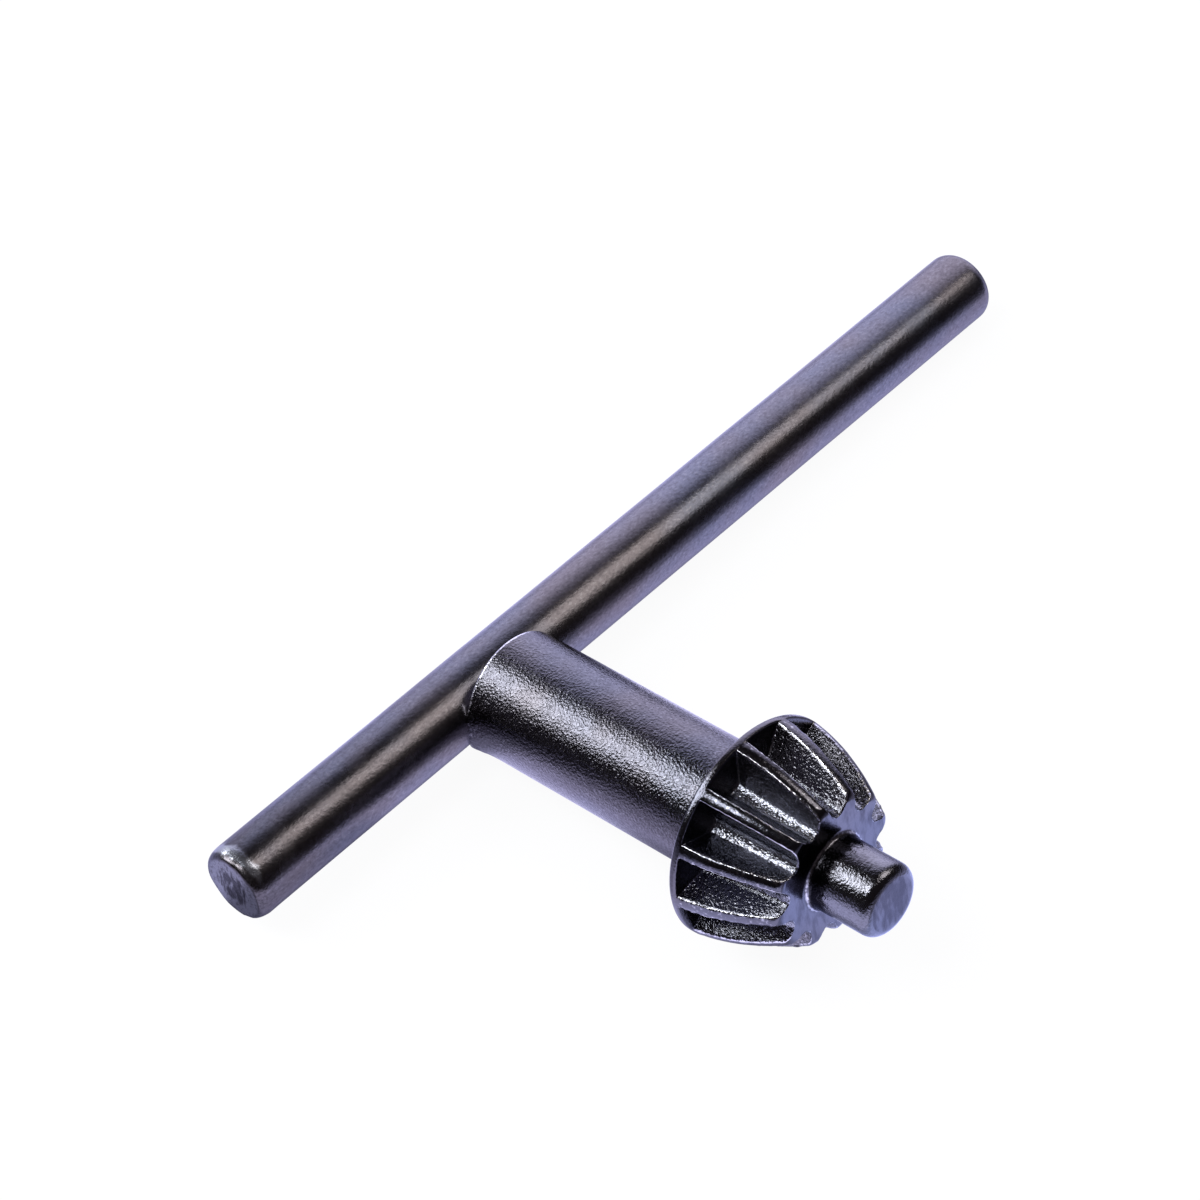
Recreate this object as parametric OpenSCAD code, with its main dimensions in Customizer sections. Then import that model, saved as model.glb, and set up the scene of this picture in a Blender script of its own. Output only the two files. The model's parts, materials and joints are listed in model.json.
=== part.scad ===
// Drill chuck key, lying the way it comes to rest on a table.
// It is drawn with its shank along +X and its bar along +Y, their axes meeting at the
// origin. It is then tilted until the pinion's rim, the foot of the shank and the long
// end of the bar all touch one level plane.

/* [Crossbar] */
// Diameter of the round bar
bar_d = 6.3; // [4:0.1:8]
// Reach of the short arm from the shank's axis
bar_short = 27.8; // [15:0.1:50]
// Reach of the long arm from the shank's axis
bar_long = 60.1; // [35:0.1:100]
// Length of the worn taper at the short arm's end
short_end_len = 1.3; // [0.3:0.1:3]
// Radius that the short arm loses over that taper
short_end_drop = 0.5; // [0.1:0.1:1.2]
// Rounding of the long arm's end
long_end_round = 1; // [0.2:0.1:1.8]

/* [Shank] */
// Diameter of the shank
shank_d = 10.4; // [9:0.1:14]
// Length of the shank from its foot to the back of the pinion
shank_len = 24.5; // [12:0.1:45]
// Depth that the bar is let into the foot of the shank
bar_seat = 0.35; // [0.1:0.05:1]
// Rounding of the rim at the foot
foot_round = 0.25; // [0.05:0.05:0.8]
// Fillet between the shank and the back of the pinion
back_fillet = 0.6; // [0.1:0.1:1.2]

/* [Weld bead] */
// Rise of the bead above the shank, on both sides of the bar
bead_rise = 0.55; // [0.1:0.05:1]
// Length of the bead along the shank
bead_len = 2.4; // [0.5:0.1:4]
// Height of the bead across the bar
bead_h = 5; // [2:0.1:6]

/* [Pinion] */
// Number of teeth
teeth = 12; // [9:1:15]
// Diameter over the rim
pinion_d = 18; // [15:0.1:24]
// Length from the pinion's back to its nose
pinion_len = 8.2; // [5:0.1:14]
// Thickness of the flange that closes the tooth gaps at the back
flange_t = 0.7; // [0.3:0.1:2]
// Width of the plain band round the rim, its rounded back edge included
rim_band = 0.6; // [0.6:0.1:2]
// Rounding of the rim's back edge
rim_round = 0.3; // [0.1:0.05:0.6]
// Diameter over the teeth at the nose, before its edge is rounded
nose_d = 12.4; // [11.4:0.1:14]
// Rounding of the teeth's nose ends
nose_round = 1; // [0.2:0.1:1.6]
// Crown of the tooth tops between the rim and the nose
tooth_crown = 0.46; // [0:0.02:0.8]
// Width of a tooth's top at the flange
back_land = 1; // [0.6:0.1:2]
// Width of a tooth's top at the nose
nose_land = 0.75; // [0.5:0.05:1.4]
// Diameter across the floors of the tooth gaps at the flange
back_root_d = 11.8; // [10.5:0.1:13.5]
// Diameter across the floors of the tooth gaps at the nose
nose_root_d = 9.9; // [8.6:0.1:10.4]
// Rounding of a gap's floor at the flange
back_root_round = 0.65; // [0.2:0.05:0.7]
// Rounding of a gap's floor at the nose
nose_root_round = 0.45; // [0.1:0.05:0.5]
// Turn of the first tooth gap from the bar's long arm
first_gap = 17; // [0:1:30]

/* [Pilot] */
// Diameter of the pilot pin
pilot_d = 6; // [4:0.1:7.4]
// Length of the pilot from the pinion's nose to its tip
pilot_len = 5.6; // [3:0.1:12]
// Fillet at the pilot's root
pilot_fillet = 0.5; // [0.1:0.05:0.6]
// Rounding of the pilot's tip
pilot_round = 0.9; // [0.2:0.1:1.5]

/* [Hidden] */
$fn = 96;

// Steps in a drawn arc, and sections along a tooth
arc_steps = 8;
tooth_steps = 6;
// How far a cutter runs past what it cuts
past = 1;

bar_r = bar_d / 2;
shank_r = shank_d / 2;
pinion_r = pinion_d / 2;
nose_r = nose_d / 2;
pilot_r = pilot_d / 2;
short_end_r = bar_r - short_end_drop;

// Stations along the key's axis, counted from the bar's centre
foot_x = bar_r - bar_seat;
back_x = foot_x + shank_len;
flange_x = back_x + flange_t;
nose_x = back_x + pinion_len;
tip_x = nose_x + pilot_len;
crown_x = back_x + rim_band;
crown_len = nose_x - crown_x;
tooth_len = nose_x - flange_x;

// Fall of the tooth tops where they meet the nose, and the reach of the rounding there
nose_slope = atan2(pinion_r - nose_r + 4 * tooth_crown, crown_len);
nose_reach = nose_round * tan((90 - nose_slope) / 2);
crown_end_x = nose_x - nose_reach * cos(nose_slope);
crown_step = (crown_end_x - crown_x) / tooth_steps;
crown_stations = [for (i = [0:tooth_steps]) crown_x + i * crown_step];

// The rest position: a line laid under the rounded foot and rim gives the pitch, and the
// bar's long end then sinks until it meets the same plane, which gives the roll.
foot_c = [foot_x + foot_round, shank_r - foot_round];
rim_c = [back_x + rim_round, pinion_r - rim_round];
under = rim_c - foot_c;
pitch = atan2(under.y, under.x) + asin((rim_round - foot_round) / norm(under));
drop = foot_c.y * cos(pitch) - foot_c.x * sin(pitch) + foot_round;
end_c = [bar_r - long_end_round, bar_long - long_end_round];
dip = atan2(end_c.y, end_c.x) - acos((drop - long_end_round) / norm(end_c));
roll = asin(sin(dip) / cos(pitch));

// Points of an arc about c, from angle a0 to a1
function arc(c, r, a0, a1) = [
    for (i = [0:arc_steps])
        let (a = a0 + (a1 - a0) * i / arc_steps)
        c + r * [cos(a), sin(a)]
];

// Share of the tooth's length at station x
function tooth_share(x) = (x - flange_x) / tooth_len;

// Radius over the tooth tops at station x: a straight cone with a crown on it
function top_r(x) =
    let (t = (min(x, nose_x) - crown_x) / crown_len)
    pinion_r + (nose_r - pinion_r) * t + 4 * tooth_crown * t * (1 - t);

// Half width of a gap at the tooth tops: half the pitch less half the land
function gap_half(x) =
    let (t = tooth_share(x), land = back_land + (nose_land - back_land) * t)
    top_r(x) * sin(180 / teeth) - land / 2;

// Section of a tooth gap at station x, as [outwards, sideways] points: a rounded floor
// between two straight flanks that lean out to the tooth tops and a little past them
function gap_section(x) =
    let (
        t = tooth_share(x),
        floor_r = (back_root_d + (nose_root_d - back_root_d) * t) / 2,
        round_r = back_root_round + (nose_root_round - back_root_round) * t,
        half = gap_half(x),
        round_c = floor_r + round_r,
        tip_r = sqrt(pow(top_r(x), 2) - pow(half, 2)),
        rise = tip_r - round_c,
        lean = atan2(half, rise) - asin(round_r / norm([half, rise])),
        outer = [tip_r + past, half + past * tan(lean)],
        floor_arc = arc([round_c, 0], round_r, 90 + lean, 270 - lean)
    )
    concat([outer], floor_arc, [[outer.x, -outer.y]]);

module along_x() {
    rotate([0, 90, 0])
        children();
}

// Turns a half outline, given as [along, radius] points, about the key's axis
module turned(outline) {
    along_x()
        rotate_extrude()
            polygon([for (p = outline) [p.y, p.x]]);
}

// Solid of one tooth gap: its section carried from the flange's face past the nose
module tooth_gap() {
    stations = [for (i = [0:tooth_steps]) flange_x + (tooth_len + past) * i / tooth_steps];
    sections = [for (x = stations) [for (p = gap_section(x)) [x, p.x, p.y]]];
    n = len(sections[0]);
    last = len(sections) - 1;
    sides = [
        for (s = [0:last - 1])
            for (i = [0:n - 1])
                let (a = s * n + i, b = s * n + (i + 1) % n)
                each [[a, b + n, b], [a, a + n, b + n]]
    ];
    ends = [[for (i = [0:n - 1]) i], [for (i = [n - 1:-1:0]) last * n + i]];
    polyhedron([for (s = sections) each s], concat(sides, ends), convexity = 4);
}

// Shank, pinion blank and pilot, turned as one
module key_blank() {
    turned(concat(
        [[foot_x, 0]],
        arc(foot_c, foot_round, 180, 90),
        arc([back_x - back_fillet, shank_r + back_fillet], back_fillet, 270, 360),
        arc(rim_c, rim_round, 180, 90),
        [for (x = crown_stations) [x, top_r(x)]],
        arc([nose_x - nose_round, nose_r - nose_reach], nose_round, 90 - nose_slope, 0),
        arc([nose_x + pilot_fillet, pilot_r + pilot_fillet], pilot_fillet, 180, 270),
        arc([tip_x - pilot_round, pilot_r - pilot_round], pilot_round, 90, 0),
        [[tip_x, 0]]
    ));
}

// Bead of weld that closes the seam on both sides of the bar: a flared collar round the
// foot, kept only where the bar backs it
module weld_bead() {
    flare_r = (pow(bead_len, 2) + pow(bead_rise, 2)) / (2 * bead_rise);
    flare_end = 270 - asin(bead_len / flare_r);
    intersection() {
        turned(concat(
            [[0, 0], [0, shank_r + bead_rise]],
            arc([foot_x + bead_len, shank_r + flare_r], flare_r, flare_end, 270),
            [[foot_x + bead_len, 0]]
        ));
        translate([0, -shank_d, -bead_h / 2])
            cube([foot_x + bead_len, 2 * shank_d, bead_h]);
    }
}

// The bar's own round outline, longer by extra at each end
module bar_round(extra = 0) {
    translate([0, bar_long + extra, 0])
        rotate([90, 0, 0])
            cylinder(r = bar_r, h = bar_long + bar_short + 2 * extra);
}

module key_body() {
    color([0.30, 0.29, 0.33])
        difference() {
            union() {
                key_blank();
                weld_bead();
            }
            bar_round(past);
            for (k = [0:teeth - 1])
                rotate([first_gap + k * 360 / teeth, 0, 0])
                    tooth_gap();
        }
}

// Round rod whose short arm ends in a worn taper, a quarter of an ellipse in outline
module crossbar() {
    worn = [
        for (p = arc([0, 0], 1, 270, 360))
            [short_end_r + short_end_drop * p.x, short_end_len * (1 + p.y) - bar_short]
    ];
    color([0.36, 0.35, 0.40])
        rotate([-90, 0, 0])
            rotate_extrude()
                polygon(concat(
                    [[0, -bar_short]],
                    worn,
                    arc(end_c, long_end_round, 0, 90),
                    [[0, bar_long]]
                ));
}

module at_rest() {
    rotate([-roll, -pitch, 0])
        children();
}

at_rest() key_body();
at_rest() crossbar();
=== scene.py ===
import json
import math

import bpy
import numpy as np
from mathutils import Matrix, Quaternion, Vector


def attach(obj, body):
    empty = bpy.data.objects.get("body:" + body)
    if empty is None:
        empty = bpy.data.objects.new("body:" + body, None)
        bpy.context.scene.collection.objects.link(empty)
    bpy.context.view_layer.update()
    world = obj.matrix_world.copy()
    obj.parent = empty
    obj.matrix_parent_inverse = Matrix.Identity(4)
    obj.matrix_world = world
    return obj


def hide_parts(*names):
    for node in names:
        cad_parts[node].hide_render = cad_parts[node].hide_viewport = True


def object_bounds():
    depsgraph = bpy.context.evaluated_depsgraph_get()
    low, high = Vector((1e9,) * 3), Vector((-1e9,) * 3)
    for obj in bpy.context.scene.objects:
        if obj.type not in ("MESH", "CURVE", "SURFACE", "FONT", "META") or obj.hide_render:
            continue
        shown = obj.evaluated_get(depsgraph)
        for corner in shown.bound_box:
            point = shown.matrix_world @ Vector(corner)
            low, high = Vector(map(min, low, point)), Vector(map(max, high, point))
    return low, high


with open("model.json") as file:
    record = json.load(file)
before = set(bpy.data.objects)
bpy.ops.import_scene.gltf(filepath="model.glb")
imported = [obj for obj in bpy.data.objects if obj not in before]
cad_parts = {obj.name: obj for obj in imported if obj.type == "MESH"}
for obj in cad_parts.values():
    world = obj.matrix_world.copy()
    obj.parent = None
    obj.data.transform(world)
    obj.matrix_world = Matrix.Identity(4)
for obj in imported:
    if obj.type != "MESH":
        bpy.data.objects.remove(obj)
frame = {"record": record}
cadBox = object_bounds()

# The key is worked out in its own axes, in millimetres: x along the shank towards the pilot,
# y along the bar towards its long arm, both meeting at the origin. The record's mounts say
# how those axes lie in the row.
mounts = {m["name"]: m for m in frame["record"]["mounts"]}
shankAxis = np.array(mounts["pilot"]["axis"])
barAxis = np.array(mounts["crossbar_grip"]["axis"])
keyTurn = np.column_stack([shankAxis, barAxis, np.cross(shankAxis, barAxis)])
mm = 0.001

keySize = {
    "footX": 2.8, "shankR": 5.2, "footRound": 0.22,
    "backX": 27.3, "backFillet": 0.6,
    "rimR": 9.0, "rimRound": 0.3, "crownX": 27.9, "flangeX": 28.0,
    "noseX": 35.5, "noseR": 6.2, "noseRound": 1.0, "crown": 0.46,
    "pilotR": 3.0, "pilotFillet": 0.5, "pilotRound": 0.95, "tipX": 41.1,
}

teethSize = {
    "count": 12, "firstGap": 17.0,      # degrees from the long arm towards the top
    "backLand": 1.0, "noseLand": 0.75,
    "backFloorR": 5.9, "noseFloorR": 4.95,
    "backFloorHalf": 0.65, "noseFloorHalf": 0.45,
    "floorCurve": 1.8, "cornerRound": 0.2,
    "edgeRound": 0.32,                  # softness of the tooth tops' edges
    "landCrown": 0.09,                  # fall of the tooth tops from their middle to an edge
    "noseEdge": 0.09,                   # rounding where the gaps break the nose face
    "edgeHalf": 0.2,
    "columns": (5, 7, 7, 3),            # over half a pitch: floor, flank, edge, land
}

# The bead reaches from z low to z near on the side of the short arm, to z far on the other
weldSize = {
    "rise": 0.36, "length": 2.4, "low": -2.7, "near": 1.4, "far": 0.4, "fade": 0.7,
    "overlap": 0.12, "fillInner": 4.4, "lump": 0.02,
}

roughSize = {
    "gap": 0.010, "gapWave": 0.8,       # forged waviness of the tooth gaps
    "burr": 0.034, "burrWave": 0.55,    # ragged edges of the tooth tops
    "skin": 0.003, "skinWave": 2.4,     # slow waviness of everything turned
}

barSize = {
    "r": 3.15, "shortY": -27.8, "longY": 60.1,
    "wornLen": 1.3, "wornDrop": 0.5, "longRound": 1.4,
    "columns": 192, "wave": 0.006, "waveLen": 5.0, "wornWave": 0.035,
}


# Smooth noise of about unit height: a sum of sine waves, each with a direction, a
# wavelength near the one asked for and a phase drawn from a seeded generator.
def waves(points, length, seed, count=20):
    draw = np.random.default_rng(seed)
    way = draw.normal(size=(count, 3))
    way /= np.linalg.norm(way, axis=1)[:, None]
    size = 2 * math.pi / (length * draw.uniform(0.7, 1.5, count))
    phase = draw.uniform(0, 2 * math.pi, count)
    turns = points @ (way * size[:, None]).T + phase
    return np.sin(turns).sum(axis=-1) * math.sqrt(2 / count)


# Rises from 0 at low to 1 at high along 3t^2 - 2t^3.
def smooth(low, high, value):
    t = np.clip((value - low) / (high - low), 0, 1)
    return t * t * (3 - 2 * t)


# The smaller of a and b, with their crossing rounded over about width.
def softMin(a, b, width):
    return (a + b - np.sqrt((a - b) ** 2 + width ** 2)) / 2


# Outline points of an arc, as rows of x and radius.
def arc(centreX, centreR, radius, start, end, count):
    t = np.radians(np.linspace(start, end, count))
    return np.column_stack([centreX + radius * np.cos(t), centreR + radius * np.sin(t)])


# Outline points along a straight line, without its two ends.
def line(x0, r0, x1, r1, count):
    t = np.linspace(0, 1, count + 2)[1:-1]
    return np.column_stack([x0 + (x1 - x0) * t, r0 + (r1 - r0) * t])


# Mesh of a grid of rings, an array of rows by columns by three, closed by a pole at each
# end. Rings run anticlockwise seen from the last pole, so that the faces point outwards.
def closedSurface(name, rings, firstPole, lastPole, masks):
    rows, columns = rings.shape[:2]
    points = np.concatenate([rings.reshape(-1, 3), [firstPole, lastPole]])
    points = points @ keyTurn.T * mm
    row, column = np.meshgrid(np.arange(rows - 1), np.arange(columns), indexing="ij")
    after = (column + 1) % columns
    quads = np.stack([
        row * columns + column, row * columns + after,
        (row + 1) * columns + after, (row + 1) * columns + column,
    ], axis=-1).reshape(-1, 4)
    ring = np.arange(columns)
    follow = (ring + 1) % columns
    first, last = rows * columns, rows * columns + 1
    base = (rows - 1) * columns
    caps = np.concatenate([
        np.column_stack([np.full(columns, first), follow, ring]),
        np.column_stack([np.full(columns, last), base + ring, base + follow]),
    ])
    loops = np.concatenate([quads.ravel(), caps.ravel()])
    starts = np.concatenate([
        np.arange(len(quads)) * 4, len(quads) * 4 + np.arange(len(caps)) * 3,
    ])
    mesh = bpy.data.meshes.new(name)
    mesh.vertices.add(len(points))
    mesh.vertices.foreach_set("co", points.ravel())
    mesh.loops.add(len(loops))
    mesh.loops.foreach_set("vertex_index", loops)
    mesh.polygons.add(len(starts))
    mesh.polygons.foreach_set("loop_start", starts)
    mesh.polygons.foreach_set("use_smooth", np.ones(len(starts), dtype=bool))
    mesh.update(calc_edges=True)
    for maskName, mask in masks.items():
        values = np.concatenate([mask.ravel(), [mask[0].mean(), mask[-1].mean()]])
        layer = mesh.attributes.new(maskName, "FLOAT", "POINT")
        layer.data.foreach_set("value", values.astype(np.float32))
    mesh.validate()
    piece = bpy.data.objects.new(name, mesh)
    bpy.context.scene.collection.objects.link(piece)
    return piece


# Radius over the tooth tops: a straight cone from rim to nose with a parabola on it.
def topRadius(x):
    k = keySize
    t = (x - k["crownX"]) / (k["noseX"] - k["crownX"])
    return k["rimR"] + (k["noseR"] - k["rimR"]) * t + 4 * k["crown"] * t * (1 - t)


# A tooth gap's section at station x: centre of its shallow floor's circle, angle of the
# corner between floor and flank, lean of the flank, and its line's distance from the axis.
def gapShape(x):
    k, g = keySize, teethSize
    t = np.clip((x - k["flangeX"]) / (k["noseX"] - k["flangeX"]), 0, 1)
    floorHalf = g["backFloorHalf"] + (g["noseFloorHalf"] - g["backFloorHalf"]) * t
    centre = g["backFloorR"] + (g["noseFloorR"] - g["backFloorR"]) * t + g["floorCurve"]
    corner = centre - np.sqrt(g["floorCurve"] ** 2 - floorHalf ** 2)
    land = g["backLand"] + (g["noseLand"] - g["backLand"]) * t
    top = topRadius(np.clip(x, k["flangeX"], k["noseX"]))
    half = top * math.sin(math.pi / g["count"]) - land / 2
    lean = np.arctan2(half - floorHalf, np.sqrt(top ** 2 - half ** 2) - corner)
    offset = floorHalf * np.cos(lean) - corner * np.sin(lean)
    return centre, np.arctan2(floorHalf, corner), lean, offset


# Distance from the axis to the gap's surface at an angle from the gap's middle: the larger
# of the floor circle's near side and the flank's straight line, their corner rounded.
def gapRadius(angle, centre, lean, offset):
    g = teethSize
    inCircle = np.maximum(g["floorCurve"] ** 2 - (centre * np.sin(angle)) ** 2, 0)
    onFloor = centre * np.cos(angle) - np.sqrt(inCircle)
    onFlank = offset / np.sin(np.minimum(angle - lean, -0.02))
    return -softMin(-onFloor, -onFlank, g["cornerRound"])


# The turned outline from foot to tip, as x and radius, with the share of a tooth gap's
# depth that is reached at each row, and the marks of the rows round the nose's edge.
def bodyOutline():
    k = keySize
    slope = math.degrees(math.atan2(
        k["rimR"] - k["noseR"] + 4 * k["crown"], k["noseX"] - k["crownX"]))
    reach = k["noseRound"] * math.tan(math.radians(90 - slope) / 2)
    crownEnd = k["noseX"] - reach * math.cos(math.radians(slope))
    footC = k["footX"] + k["footRound"], k["shankR"] - k["footRound"]
    plain = np.concatenate([
        line(k["footX"], 0.0, k["footX"], footC[1], 12),
        arc(*footC, k["footRound"], 180, 90, 6),
        line(footC[0], k["shankR"], k["footX"] + 2.6, k["shankR"], 12),
        line(k["footX"] + 2.6, k["shankR"], k["backX"] - k["backFillet"], k["shankR"], 22),
        arc(k["backX"] - k["backFillet"], k["shankR"] + k["backFillet"],
            k["backFillet"], 270, 360, 7),
        line(k["backX"], k["shankR"] + k["backFillet"], k["backX"],
             k["rimR"] - k["rimRound"], 5),
        arc(k["backX"] + k["rimRound"], k["rimR"] - k["rimRound"], k["rimRound"], 180, 90, 7),
        line(k["backX"] + k["rimRound"], k["rimR"], k["crownX"], k["rimR"], 1),
    ])
    wallX = np.array([-0.09, -0.05, -0.02, 0.0, 0.015, 0.03, 0.05, 0.09, 0.17, 0.3])
    wallShare = np.array([0, 0.012, 0.06, 0.2, 0.42, 0.64, 0.82, 0.93, 0.985, 1])
    crownX = np.linspace(k["flangeX"] + 0.45, crownEnd, 38)
    toothX = np.concatenate([k["flangeX"] + wallX, crownX])
    nose = arc(k["noseX"] - k["noseRound"], k["noseR"] - reach, k["noseRound"],
               90 - slope, 0, 12)[1:]
    toothed = np.concatenate([np.column_stack([toothX, topRadius(toothX)]), nose])
    share = np.concatenate([wallShare, np.ones(len(crownX) + len(nose))])
    rootR = k["pilotR"] + k["pilotFillet"]
    faceShare = np.array([0.02, 0.05, 0.12, 0.25, 0.4, 0.55, 0.7, 0.85, 0.95, 1.0])
    pilot = np.concatenate([
        arc(k["noseX"] + k["pilotFillet"], rootR, k["pilotFillet"], 180, 270, 8)[1:],
        line(k["noseX"] + k["pilotFillet"], k["pilotR"], k["tipX"] - k["pilotRound"],
             k["pilotR"], 10),
        arc(k["tipX"] - k["pilotRound"], k["pilotR"] - k["pilotRound"],
            k["pilotRound"], 90, 0, 10),
        line(k["tipX"], k["pilotR"] - k["pilotRound"], k["tipX"], 0.0, 6),
    ])
    return plain, toothed, share, faceShare, rootR, pilot


# Angles from a gap's middle for the columns of half a pitch, row by row: the floor, the
# flank, the edge and the land each keep their own share of the columns.
def columnAngles(touch, edge, edgeWidth):
    g = teethSize
    knots = np.cumsum((0,) + g["columns"]) / sum(g["columns"])
    at = (np.arange(sum(g["columns"])) + 0.5) / sum(g["columns"])
    stops = np.column_stack([
        np.zeros_like(touch), touch, edge - edgeWidth, edge + edgeWidth,
        np.full_like(touch, math.pi / g["count"]),
    ])
    span = np.clip(np.searchsorted(knots, at, side="right") - 1, 0, len(knots) - 2)
    t = (at - knots[span]) / (knots[span + 1] - knots[span])
    return stops[:, span] + (stops[:, span + 1] - stops[:, span]) * t


# Shank, pinion and pilot as one surface of two parameters: the row along the turned
# outline and the angle round it. Between flange and nose the radius is the smaller of the
# outline's and the tooth gap's, and the gap's edge keeps to the same columns.
def buildBody():
    k, g = keySize, teethSize
    plain, toothed, share, faceShare, rootR, pilot = bodyOutline()
    x, top = toothed.T
    centre, touch, lean, offset = gapShape(x)
    edge = lean + np.arcsin(offset / top)
    half = columnAngles(touch, edge, g["edgeHalf"] / top)
    angle = np.concatenate([-half[:, ::-1], half], axis=1)
    cut = gapRadius(np.abs(angle), centre[:, None], lean[:, None], offset[:, None])
    open_ = top[:, None] - softMin(top[:, None], cut, g["edgeRound"])
    depth = np.maximum(open_ - g["edgeRound"] / 2 * (cut > top[:, None]), 0)
    across = (math.pi / g["count"] - np.abs(angle)) / (math.pi / g["count"] - edge[:, None])
    depth = depth + g["landCrown"] * np.clip(across, 0, 1) ** 2 * (depth < g["landCrown"])
    radius = top[:, None] - depth * share[:, None]
    inGap = smooth(-0.05, 0.15, top[:, None] - cut) * share[:, None]
    onEdge = np.exp(-((top[:, None] - cut - 0.04) / 0.18) ** 2) * share[:, None]
    # the last rows of a gap's surface turn over a small rounding into the nose face
    last = 4
    over = np.radians(np.linspace(0, 90, last))[:, None]
    xs = np.repeat(x[:, None], angle.shape[1], axis=1)
    rolled = k["noseX"] - g["noseEdge"] * (1 - np.sin(over))
    xs[-last:] += (rolled - xs[-last:]) * inGap[-last:]
    radius[-last:] -= g["noseEdge"] * (1 - np.cos(over)) * inGap[-last:]
    faceR = radius[-1] + (rootR - radius[-1]) * faceShare[:, None]
    faceX = np.full_like(faceR, k["noseX"])

    def spread(outline):
        return [np.repeat(v[:, None], angle.shape[1], axis=1) for v in outline.T]

    plainX, plainR = spread(plain)
    pilotX, pilotR = spread(pilot)
    before = np.repeat(angle[:1], len(plain), axis=0)
    after = np.repeat(angle[-1:], len(faceR) + len(pilot), axis=0)
    xs = np.concatenate([plainX, xs, faceX, pilotX])
    radius = np.concatenate([plainR, radius, faceR, pilotR])
    angle = np.concatenate([before, angle, after])
    onFloor = 1 - smooth(0.8, 1.25, np.abs(angle[len(plain):len(plain) + len(x)]) / touch[:, None])
    gapMask, edgeMask, floorMask = [np.zeros_like(xs) for _ in range(3)]
    gapMask[len(plain):len(plain) + len(x)] = inGap
    edgeMask[len(plain):len(plain) + len(x)] = onEdge
    floorMask[len(plain):len(plain) + len(x)] = onFloor * inGap
    pitch = 2 * math.pi / g["count"]
    centres = math.radians(g["firstGap"]) + pitch * np.arange(g["count"])
    turn = (centres[None, :, None] + angle[:, None, :]).reshape(len(angle), -1)
    xs, radius, gapMask, edgeMask, floorMask = [
        np.tile(v, (1, g["count"])) for v in (xs, radius, gapMask, edgeMask, floorMask)]
    points = np.stack([xs, radius * np.cos(turn), radius * np.sin(turn)], axis=-1)
    # forged waviness, deeper in the gaps than on what was turned
    r = roughSize
    lumps = waves(points, r["gapWave"], 11) + 0.6 * waves(points, r["gapWave"] / 2.5, 12)
    grain = r["gap"] * gapMask * lumps + r["skin"] * waves(points, r["skinWave"], 13)
    grain += r["burr"] * edgeMask * waves(points, r["burrWave"], 14)
    fadeEnds = smooth(0, 1, radius)
    onSide = smooth(k["footX"], k["footX"] + 0.5, xs) * (1 - smooth(
        k["noseX"] - 0.02, k["noseX"], xs))
    radius = radius + grain * fadeEnds * onSide
    # the bead of weld: a flared collar beside the bar, which fills down to the bar's surface
    w = weldSize
    y, z = points[..., 1], points[..., 2]
    reach = np.where(y < 0, w["near"], w["far"])
    side = smooth(w["low"] - w["fade"], w["low"] + w["fade"], z)
    side *= (1 - smooth(reach - w["fade"], reach + w["fade"], z)) * (xs < k["backX"])
    flare = np.clip(1 - (xs - k["footX"]) / w["length"], 0, 1) ** 2
    lump = w["lump"] * waves(points, 0.6, 21)
    radius = radius + (w["rise"] + lump) * flare * side * smooth(3.6, 4.9, radius)
    seam = k["footX"] - np.sqrt(np.maximum(barSize["r"] ** 2 - z ** 2, 0)) + w["overlap"]
    fill = side * smooth(w["fillInner"] - 0.9, w["fillInner"], radius) * flare ** 4
    xs = xs - np.clip(seam, 0, 1.4) * fill
    points = np.stack([xs, radius * np.cos(turn), radius * np.sin(turn)], axis=-1)
    onShank = 1 - smooth(k["backX"] - 0.6, k["backX"], xs)
    onPilot = smooth(k["noseX"] + 0.1, k["noseX"] + 0.4, xs) * smooth(2.2, 2.6, radius)
    onFace = smooth(k["noseX"] - 0.35, k["noseX"] - 0.05, xs) * (1 - onPilot)
    onTip = smooth(k["tipX"] - 0.9, k["tipX"] - 0.1, xs) * (1 - smooth(1.6, 2.9, radius))
    calm = 0.4 - 0.28 * onFace
    onTeeth = smooth(k["crownX"], k["crownX"] + 0.4, xs) * (1 - smooth(
        k["noseX"] - 0.3, k["noseX"], xs))
    # painted highlights: a thin line round the foot's rounded rim and a ring round the pilot's
    # root, where the roundings catch the light
    footHighlight = np.exp(-((xs - k["footX"] - 0.1) / 0.16) ** 2) * smooth(5.0, 5.1, radius)
    rootHighlight = np.exp(-((xs - k["noseX"] - 0.12) / 0.1) ** 2) * (1 - smooth(3.5, 3.6, radius))
    masks = {
        "gap": gapMask,
        "grain": np.maximum.reduce([onShank, 1.4 * gapMask, 0.7 * edgeMask, 0.6 * onPilot, calm]),
        "sparkle": 0.4 * onShank + 1.5 * gapMask + 0.3 * onPilot,
        "face": onFace + 0.13 * onTip,
        "root": onPilot * (1 - smooth(k["noseX"] + 0.2, k["noseX"] + 2.8, xs)),
        # wear mark: worn tooth edges and tops, with painted glints along the edges and painted
        # highlights on the foot's rim and the pilot's root
        "wearAndGlint": np.maximum.reduce([
            edgeMask, 0.42 * onTeeth * (1 - gapMask), 1.3 * footHighlight * (1 - side),
            0.8 * rootHighlight]),
        # polish mark: painted sheen on the tooth gaps and their floors; on the pilot, partly real
        # polish and partly painted sheen
        "polishAndSheen": 0.22 * onPilot + 0.15 * gapMask + 0.75 * floorMask,
    }
    piece = closedSurface("steelBody", points, (k["footX"], 0, 0), (k["tipX"], 0, 0), masks)
    print("body", points.shape, "lowest", round(float((points @ keyTurn.T)[..., 2].min()), 3))
    return piece


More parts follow.
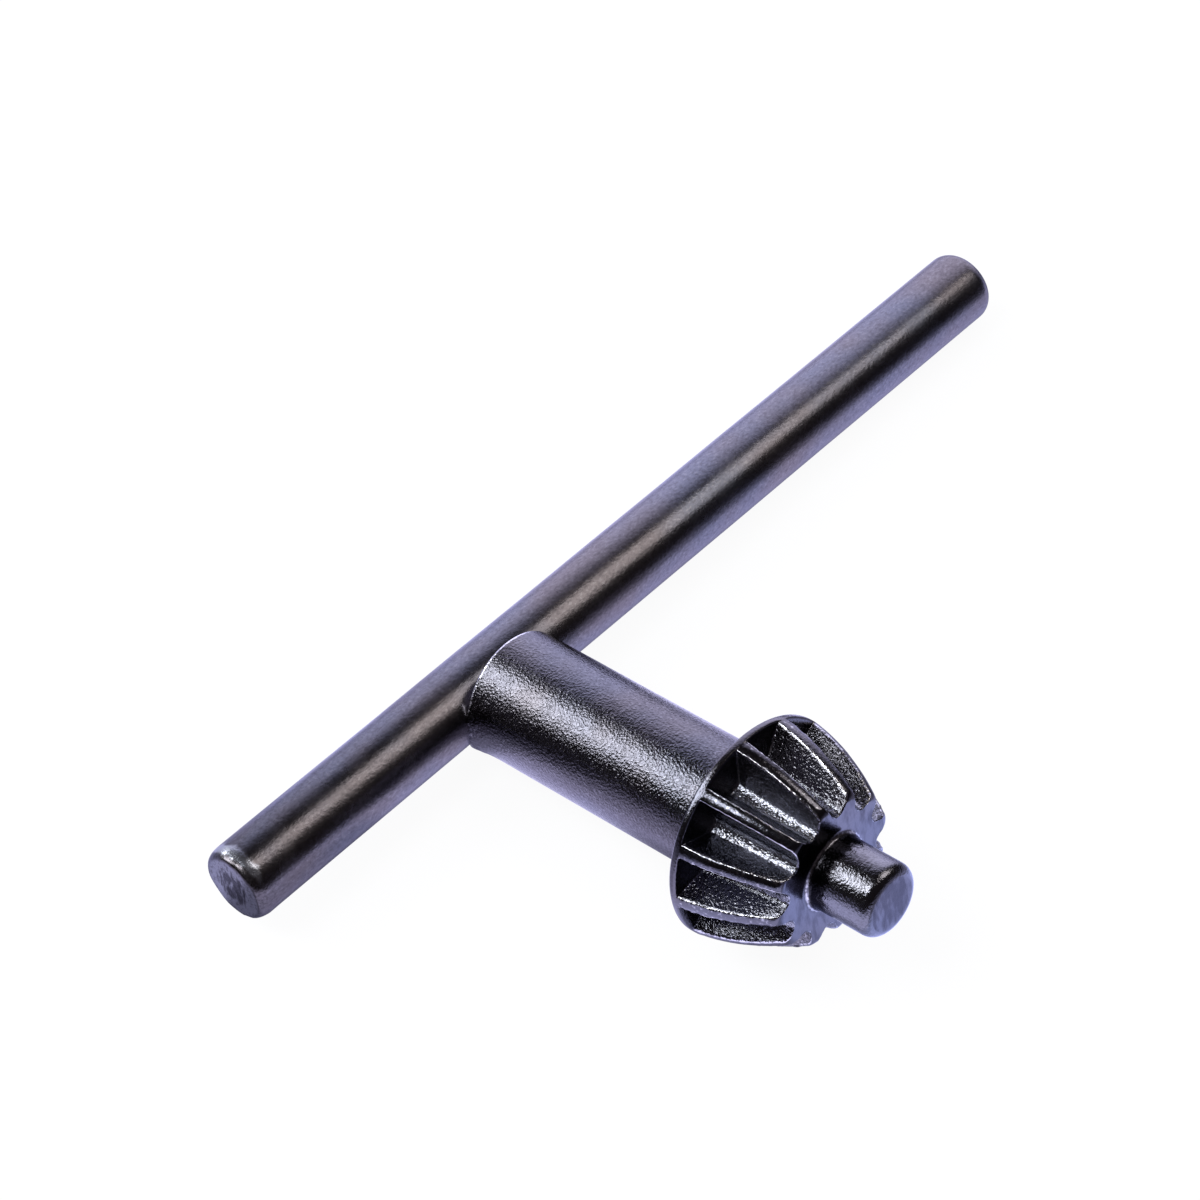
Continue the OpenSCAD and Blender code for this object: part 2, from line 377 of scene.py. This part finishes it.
# The rod: a profile of y and radius carried round its axis. The short arm ends in a worn
# taper, a quarter of an ellipse whose length and depth wander, and a flat sheared face.
def buildBar():
    b = barSize
    wornR = b["r"] - b["wornDrop"]
    t = np.radians(np.linspace(0, 90, 14))
    worn = np.column_stack([
        b["shortY"] + b["wornLen"] * (1 - np.cos(t)), wornR + b["wornDrop"] * np.sin(t)])
    face = line(b["shortY"], 0.0, b["shortY"], wornR, 14)
    rod = line(b["shortY"] + b["wornLen"], b["r"], b["longY"] - b["longRound"], b["r"], 110)
    end = arc(b["longY"] - b["longRound"], b["r"] - b["longRound"], b["longRound"], 90, 0, 12)
    back = line(b["longY"], b["r"] - b["longRound"], b["longY"], 0.0, 6)
    outline = np.concatenate([face, worn, rod, end, back])
    turn = np.linspace(0, 2 * math.pi, b["columns"], endpoint=False)[None, :]
    ys = np.repeat(outline[:, :1], b["columns"], axis=1)
    radius = np.repeat(outline[:, 1:], b["columns"], axis=1)
    turn = np.repeat(turn, len(outline), axis=0)
    points = np.stack([radius * np.sin(turn), ys, radius * np.cos(turn)], axis=-1)
    wornMask = 1 - smooth(b["shortY"] + 0.9, b["shortY"] + 1.5, ys)
    slow = b["wave"] * waves(points * (1, 0.4, 1), b["waveLen"], 31)
    lumps = b["wornWave"] * waves(points, 2.2, 32)
    rim = wornMask * smooth(1.6, wornR, radius)
    radius = radius + slow * smooth(0, 1, radius) + lumps * rim * 0.6
    ys = ys + np.abs(lumps) * wornMask * (1 - smooth(wornR, b["r"], radius)) * 0.6
    points = np.stack([radius * np.sin(turn), ys, radius * np.cos(turn)], axis=-1)
    onFace = (1 - smooth(wornR - 0.12, wornR + 0.05, radius)) * (ys < 0)
    glint = np.exp(-((ys - b["shortY"] - 0.9) / 0.5) ** 2) * (radius > wornR)
    middle = 0.7 + 0.3 * (1 - smooth(0.9, 2.3, radius))
    # here the polish mark is a painted reflection that pales the short end's face, and the wear
    # mark a painted glint on the top of its taper only
    masks = {
        "worn": wornMask, "face": onFace * middle, "polishAndSheen": 0.65 * onFace,
        "grain": 1 + 0.6 * wornMask, "sparkle": np.ones_like(ys),
        "wearAndGlint": 1.2 * glint * smooth(0.1, 0.9, np.cos(turn)),
    }
    piece = closedSurface("steelBar", points, (0, b["shortY"] + 0.02, 0),
                          (0, b["longY"], 0), masks)
    print("bar", points.shape)
    return piece


def addNode(tree, kind, settings=None, inputs=None):
    node = tree.nodes.new(kind)
    for name, value in (settings or {}).items():
        setattr(node, name, value)
    for name, value in (inputs or {}).items():
        if isinstance(value, bpy.types.NodeSocket):
            tree.links.new(value, node.inputs[name])
        else:
            node.inputs[name].default_value = value
    return node


def rampNode(tree, value, low, high, atLow, atHigh):
    return addNode(tree, "ShaderNodeMapRange", {"interpolation_type": "SMOOTHSTEP"}, {
        "Value": value, "From Min": low, "From Max": high, "To Min": atLow, "To Max": atHigh,
    }).outputs["Result"]


def mathNode(tree, kind, a, b=0.0):
    return addNode(tree, "ShaderNodeMath", {"operation": kind}, {0: a, 1: b}).outputs[0]


# Black-oxide steel. Two tints wander into each other over centimetres. The grain's height
# is noise times the grain mark, with darker pits, and peaks that are paler by the sparkle
# mark; dents are slower noise.
# The polish mark pales the steel evenly, partly real polish and partly a painted sheen,
# and where the wear mark plus noise is high the steel turns pale: bare steel on worn edges
# and tooth tops, and painted highlights and glints. Marks in look["stains"] darken the tint
# where mark plus noise is high.
def steel(name, look):
    material = bpy.data.materials.new(name)
    material.use_nodes = True
    tree = material.node_tree
    tree.nodes.clear()
    where = addNode(tree, "ShaderNodeTexCoord").outputs["Object"]

    def stretched(stretch):
        return addNode(tree, "ShaderNodeMapping", inputs={
            "Vector": where, "Scale": stretch}).outputs["Vector"]

    def noise(vector, scale, detail=2.0, rough=0.5):
        return addNode(tree, "ShaderNodeTexNoise", inputs={
            "Vector": vector, "Scale": scale, "Detail": detail, "Roughness": rough,
        }).outputs["Fac"]

    def ramp(fac, low, high, out0=0.0, out1=1.0):
        return rampNode(tree, fac, low, high, out0, out1)

    def mark(markName):
        return addNode(tree, "ShaderNodeAttribute", {
            "attribute_type": "GEOMETRY", "attribute_name": markName}).outputs["Fac"]

    def mixColour(fac, a, b):
        node = addNode(tree, "ShaderNodeMix", {"data_type": "RGBA"})
        tree.links.new(fac, node.inputs["Factor"])
        for socket, value in ((node.inputs[6], a), (node.inputs[7], b)):
            if isinstance(value, bpy.types.NodeSocket):
                tree.links.new(value, socket)
            else:
                socket.default_value = (*value, 1)
        return node.outputs[2]

    even = stretched(look["stretch"])
    colour = mixColour(ramp(noise(even, look["tintScale"]), 0.38, 0.62),
                       look["cool"], look["warm"])
    # painted sheen, partly real polish, where the polish mark is high
    colour = mixColour(mark("polishAndSheen"), colour, look["bright"])
    amount = mark("grain")
    speck = noise(even, look["grainScale"], look["grainDetail"], 0.6)
    pits = mathNode(tree, "MULTIPLY", ramp(speck, 0.48, 0.36), look["pitDepth"])
    colour = mixColour(mathNode(tree, "MULTIPLY", pits, amount), colour, look["pit"])
    peaks = mathNode(tree, "MULTIPLY", ramp(speck, *look["peakFrom"]), look["peakDepth"])
    colour = mixColour(mathNode(tree, "MULTIPLY", peaks, mark("sparkle")), colour, look["peak"])
    # pale where the wear mark is high: bare worn steel, and painted highlights and glints
    ragged = mathNode(tree, "ADD", mark("wearAndGlint"), noise(even, look["wearAndGlintScale"], 2))
    colour = mixColour(ramp(ragged, *look["wearAndGlintFrom"]), colour, look["bareAndGlint"])
    rough = ramp(noise(even, look["roughScale"]), 0.3, 0.7, look["roughLow"], look["roughHigh"])
    for stain in look["stains"]:
        streaks = noise(stretched(stain["stretch"]), 1.0, 2.5, 0.6)
        level = mathNode(tree, "ADD", mark(stain["mark"]), mathNode(
            tree, "MULTIPLY", streaks, stain["noise"]))
        fac = ramp(level, stain["from"], stain["to"], 0.0, stain["depth"])
        colour = mixColour(fac, colour, stain["colour"])
    height = mathNode(tree, "MULTIPLY", speck, amount)
    grain = addNode(tree, "ShaderNodeBump", inputs={
        "Height": height, "Strength": 1.0, "Distance": look["grainDepth"] * mm})
    bump = addNode(tree, "ShaderNodeBump", inputs={
        "Height": noise(even, look["dentScale"], 1), "Strength": 1.0,
        "Distance": look["dentDepth"] * mm, "Normal": grain.outputs["Normal"]})
    shader = addNode(tree, "ShaderNodeBsdfPrincipled", inputs={
        "Base Color": colour, "Metallic": look["metallic"], "Roughness": rough,
        "Specular Tint": look["edgeTint"], "Normal": bump.outputs["Normal"]})
    addNode(tree, "ShaderNodeOutputMaterial", inputs={"Surface": shader.outputs["BSDF"]})
    return material


bodyLook = {
    "stretch": (1000, 1000, 1000), "metallic": 1.0, "edgeTint": (0.8, 0.8, 0.86, 1),
    "tintScale": 0.12, "cool": (0.108, 0.110, 0.132), "warm": (0.114, 0.108, 0.120),
    "pit": (0.03, 0.028, 0.032), "pitDepth": 0.35, "peak": (0.55, 0.55, 0.6), "peakDepth": 0.3,
    "peakFrom": (0.58, 0.68),
    "bright": (0.33, 0.34, 0.38),
    "wearAndGlintScale": 3.4, "wearAndGlintFrom": (0.95, 1.35), "bareAndGlint": (0.6, 0.6, 0.64),
    "roughScale": 1.2, "roughLow": 0.15, "roughHigh": 0.21,
    "grainScale": 4.7, "grainDetail": 1.6, "grainDepth": 0.06,
    "dentScale": 0.9, "dentDepth": 0.02,
    "stains": [
        {"mark": "root", "noise": 1.0, "from": 0.9, "to": 1.02, "depth": 0.9,
         "stretch": (600, 2300, 2300), "colour": (0.012, 0.011, 0.013)},
        {"mark": "face", "noise": 0.6, "from": 1.24, "to": 1.48, "depth": 0.85,
         "stretch": (900, 1600, 550), "colour": (0.035, 0.034, 0.042)},
    ],
}

barLook = {
    "stretch": (1000, 650, 1000), "metallic": 1.0, "edgeTint": (0.75, 0.75, 0.82, 1),
    "tintScale": 0.13, "cool": (0.118, 0.123, 0.151), "warm": (0.130, 0.118, 0.125),
    "pit": (0.06, 0.056, 0.062), "pitDepth": 0.4, "peak": (0.24, 0.235, 0.25), "peakDepth": 0.3,
    "peakFrom": (0.54, 0.68),
    "bright": (0.33, 0.34, 0.38),
    "wearAndGlintScale": 1.2, "wearAndGlintFrom": (0.9, 1.4), "bareAndGlint": (0.46, 0.48, 0.54),
    "roughScale": 0.5, "roughLow": 0.24, "roughHigh": 0.30,
    "grainScale": 4.4, "grainDetail": 2.0, "grainDepth": 0.014,
    "dentScale": 0.6, "dentDepth": 0.02,
    "stains": [
        {"mark": "face", "noise": 0.9, "from": 1.24, "to": 1.44, "depth": 0.9,
         "stretch": (2600, 400, 800), "colour": (0.02, 0.018, 0.022)},
        {"mark": "worn", "noise": 0.8, "from": 1.46, "to": 1.64, "depth": 0.4,
         "stretch": (1500, 900, 1500), "colour": (0.03, 0.025, 0.028)},
    ],
}

body = buildBody()
body.data.materials.append(steel("forgedSteel", bodyLook))
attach(body, "root")
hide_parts("key_body")

bar = buildBar()
bar.data.materials.append(steel("barSteel", barLook))
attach(bar, "root")
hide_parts("crossbar")
print("pieces made")

studio = {
    "floorSize": 0.6,
    "floorColour": (0.86, 0.87, 0.95),
    "floorSeen": 0.93,
    "skyDiffuse": 0.85,
    "dark": (0.032, 0.026, 0.03),
}

# What the steel mirrors of the table, in metres: white, with painted shadows in the crook
# behind the shank, beside the short arm and right under the bar (by x) and the shank (by y),
# painted shade making it dimmer far away, and a bluer painted pool of light before the pilot
mirrorTable = {
    "colour": (1.54, 1.50, 2.16),
    "underBar": (0.0022, 0.0045, 0.35, 1.0), "underShank": (0.0036, 0.0052, 0.78, 1.0),
    "shortX": (0.026, 0.018), "shortY": (-0.011, -0.016), "shortLeft": 0.6,
    "crookX": (0.010, 0.023), "crookY": (-0.011, -0.006), "crookLeft": 0.3,
    "spot": (0.048, 0.010, 0.0), "spotRadius": (0.008, 0.022), "spotColour": (1.58, 1.72, 2.85),
    "middle": (0.020, 0.010, 0.0), "fade": (0.040, 0.110), "fadeLeft": 0.3,
}

# A pale card standing behind the key, seen only in its reflections and fading to its edges
backCard = {
    "azimuth": 127, "height": 0, "away": 0.097,
    "half": (0.129, 0.164), "solid": (0.030, 0.025), "colour": (2.2, 2.15, 2.8),
}

lamps = [
    {"name": "leftSoftbox", "azimuth": -152, "height": 36.6, "away": 0.512,
     "size": (0.277, 0.257), "radiance": 7.1, "colour": (0.98, 1.0, 1.04)},
    {"name": "rightSoftbox", "azimuth": 56.3, "height": 53.5, "away": 0.386,
     "size": (0.160, 0.235), "radiance": 2.75, "colour": (1.0, 0.94, 0.9)},
    {"name": "topSoftbox", "azimuth": -103, "height": 61, "away": 0.400,
     "size": (0.15, 0.15), "radiance": 8.0, "colour": (0.98, 1.0, 1.04)},
    {"name": "rimSoftbox", "azimuth": 176, "height": 16, "away": 0.400,
     "size": (0.12, 0.12), "radiance": 6.0, "colour": (0.98, 1.0, 1.04)},
]


def direction(azimuth, height):
    a, h = math.radians(azimuth), math.radians(height)
    return Vector((math.cos(h) * math.cos(a), math.cos(h) * math.sin(a), math.sin(h)))


def distanceNode(tree, where, spot):
    return addNode(tree, "ShaderNodeVectorMath", {"operation": "DISTANCE"}, {
        0: where, 1: spot}).outputs["Value"]


# White to the camera, near dark in reflections, plain light for everything matt.
def addSky():
    s = studio
    world = bpy.data.worlds.new("studio")
    bpy.context.scene.world = world
    world.use_nodes = True
    tree = world.node_tree
    tree.nodes.clear()
    mirrored = addNode(tree, "ShaderNodeBackground", inputs={"Color": (*s["dark"], 1)})
    plain = addNode(tree, "ShaderNodeBackground", inputs={
        "Color": (1, 1, 1, 1), "Strength": s["skyDiffuse"]})
    seen = addNode(tree, "ShaderNodeBackground", inputs={"Color": (1, 1, 1, 1)})
    path = addNode(tree, "ShaderNodeLightPath")
    lit = addNode(tree, "ShaderNodeMixShader", inputs={
        0: path.outputs["Is Glossy Ray"], 1: plain.outputs[0], 2: mirrored.outputs[0]})
    shown = addNode(tree, "ShaderNodeMixShader", inputs={
        0: path.outputs["Is Camera Ray"], 1: lit.outputs[0], 2: seen.outputs[0]})
    addNode(tree, "ShaderNodeOutputWorld", inputs={"Surface": shown.outputs[0]})


# The table: almost plain white to the camera, so that only the key's shadow is left of its
# own shading, and the glow of mirrorTable to the steel.
def addFloor():
    s, m = studio, mirrorTable
    bpy.ops.mesh.primitive_circle_add(
        vertices=64, radius=s["floorSize"], fill_type="NGON", location=(0, 0, cadBox[0][2]))
    floor = bpy.context.object
    floor.name = "floor"
    material = bpy.data.materials.new("paleFloor")
    material.use_nodes = True
    tree = material.node_tree
    tree.nodes.clear()
    where = addNode(tree, "ShaderNodeTexCoord").outputs["Object"]
    split = addNode(tree, "ShaderNodeSeparateXYZ", inputs={"Vector": where}).outputs
    # painted shadows in the table's glow: the crook, beside the short arm, under bar and shank;
    # dimmer far away; a painted pool of light at the spot
    crook = mathNode(tree, "MULTIPLY", rampNode(tree, split["X"], *m["crookX"], 0.0, 1.0),
                     rampNode(tree, split["Y"], *m["crookY"], 0.0, 1.0))
    inCrook = rampNode(tree, crook, 0.0, 1.0, 1.0, m["crookLeft"])
    far = rampNode(tree, distanceNode(tree, where, m["middle"]), *m["fade"], 1.0, m["fadeLeft"])
    onSpot = rampNode(tree, distanceNode(tree, where, m["spot"]), *m["spotRadius"], 1.0, 0.0)
    under = mathNode(
        tree, "MULTIPLY",
        rampNode(tree, mathNode(tree, "ABSOLUTE", split["X"]), *m["underBar"]),
        rampNode(tree, mathNode(tree, "ABSOLUTE", split["Y"]), *m["underShank"]))
    short = mathNode(tree, "MULTIPLY", rampNode(tree, split["X"], *m["shortX"], 0.0, 1.0),
                     rampNode(tree, split["Y"], *m["shortY"], 0.0, 1.0))
    byShort = rampNode(tree, short, 0.0, 1.0, 1.0, m["shortLeft"])
    level = mathNode(tree, "MULTIPLY", mathNode(tree, "MULTIPLY", inCrook, far),
                     mathNode(tree, "MULTIPLY", under, byShort))
    table = addNode(tree, "ShaderNodeEmission", inputs={
        "Color": (*m["colour"], 1), "Strength": level})
    spot = addNode(tree, "ShaderNodeEmission", inputs={"Color": (*m["spotColour"], 1)})
    glow = addNode(tree, "ShaderNodeMixShader", inputs={
        0: onSpot, 1: table.outputs[0], 2: spot.outputs[0]})
    matt = addNode(tree, "ShaderNodeBsdfDiffuse", inputs={"Color": (*s["floorColour"], 1)})
    white = addNode(tree, "ShaderNodeEmission", inputs={"Color": (1, 1, 1, 1)})
    path = addNode(tree, "ShaderNodeLightPath")
    mirrored = addNode(tree, "ShaderNodeMixShader", inputs={
        0: path.outputs["Is Glossy Ray"], 1: matt.outputs[0], 2: glow.outputs[0]})
    shown = addNode(tree, "ShaderNodeMixShader", inputs={
        0: mathNode(tree, "MULTIPLY", path.outputs["Is Camera Ray"], s["floorSeen"]),
        1: mirrored.outputs[0], 2: white.outputs[0]})
    addNode(tree, "ShaderNodeOutputMaterial", inputs={"Surface": shown.outputs[0]})
    floor.data.materials.append(material)


def addBackCard():
    c = backCard
    wide, high = c["half"]
    mesh = bpy.data.meshes.new("backCard")
    mesh.from_pydata([(-wide, -high, 0), (wide, -high, 0), (wide, high, 0), (-wide, high, 0)],
                     [], [(0, 1, 2, 3)])
    card = bpy.data.objects.new("backCard", mesh)
    bpy.context.scene.collection.objects.link(card)
    way = direction(c["azimuth"], c["height"])
    card.location = way * c["away"]
    card.rotation_euler = way.to_track_quat("Z", "Y").to_euler()
    material = bpy.data.materials.new("paleCard")
    material.use_nodes = True
    tree = material.node_tree
    tree.nodes.clear()
    where = addNode(tree, "ShaderNodeTexCoord").outputs["Object"]
    split = addNode(tree, "ShaderNodeSeparateXYZ", inputs={"Vector": where}).outputs
    across = rampNode(tree, mathNode(tree, "ABSOLUTE", split["X"]), c["solid"][0], wide, 1.0, 0.0)
    along = rampNode(tree, mathNode(tree, "ABSOLUTE", split["Y"]), c["solid"][1], high, 1.0, 0.0)
    glow = addNode(tree, "ShaderNodeEmission", inputs={
        "Color": (*c["colour"], 1), "Strength": mathNode(tree, "MULTIPLY", across, along)})
    clear = addNode(tree, "ShaderNodeBsdfTransparent")
    path = addNode(tree, "ShaderNodeLightPath")
    shown = addNode(tree, "ShaderNodeMixShader", inputs={
        0: path.outputs["Is Glossy Ray"], 1: clear.outputs[0], 2: glow.outputs[0]})
    addNode(tree, "ShaderNodeOutputMaterial", inputs={"Surface": shown.outputs[0]})
    mesh.materials.append(material)


# A softbox's power follows from its radiance: pi times its area times that.
def addLamps():
    for lamp in lamps:
        light = bpy.data.lights.new(lamp["name"], "AREA")
        light.shape = "RECTANGLE"
        light.size, light.size_y = lamp["size"]
        light.energy = math.pi * light.size * light.size_y * lamp["radiance"]
        light.color = lamp["colour"]
        holder = bpy.data.objects.new(lamp["name"], light)
        way = direction(lamp["azimuth"], lamp["height"])
        holder.location = way * lamp["away"]
        holder.rotation_euler = way.to_track_quat("Z", "Y").to_euler()
        bpy.context.scene.collection.objects.link(holder)


photoCamera = {
    "spot": (134.66, -124.92, 223.23), "aim": (1.364, 11.586, 0.0), "roll": -2.957,
    "lens": 110.29, "sensor": 36.0,
}


def addCamera():
    c = photoCamera
    camera = bpy.data.cameras.new("photoCamera")
    camera.lens = c["lens"]
    camera.sensor_width = c["sensor"]
    camera.sensor_fit = "HORIZONTAL"
    camera.clip_start = 0.01
    holder = bpy.data.objects.new("photoCamera", camera)
    spot, aim = Vector(c["spot"]) * mm, Vector(c["aim"]) * mm
    turn = (aim - spot).to_track_quat("-Z", "Y")
    holder.location = spot
    holder.rotation_mode = "QUATERNION"
    holder.rotation_quaternion = turn @ Quaternion((0, 0, 1), math.radians(c["roll"]))
    bpy.context.scene.collection.objects.link(holder)
    bpy.context.scene.camera = holder


addSky()
addFloor()
addBackCard()
addLamps()
addCamera()
bpy.context.scene.view_settings.view_transform = "Standard"
print("studio and camera set")

bpy.context.view_layer.update()
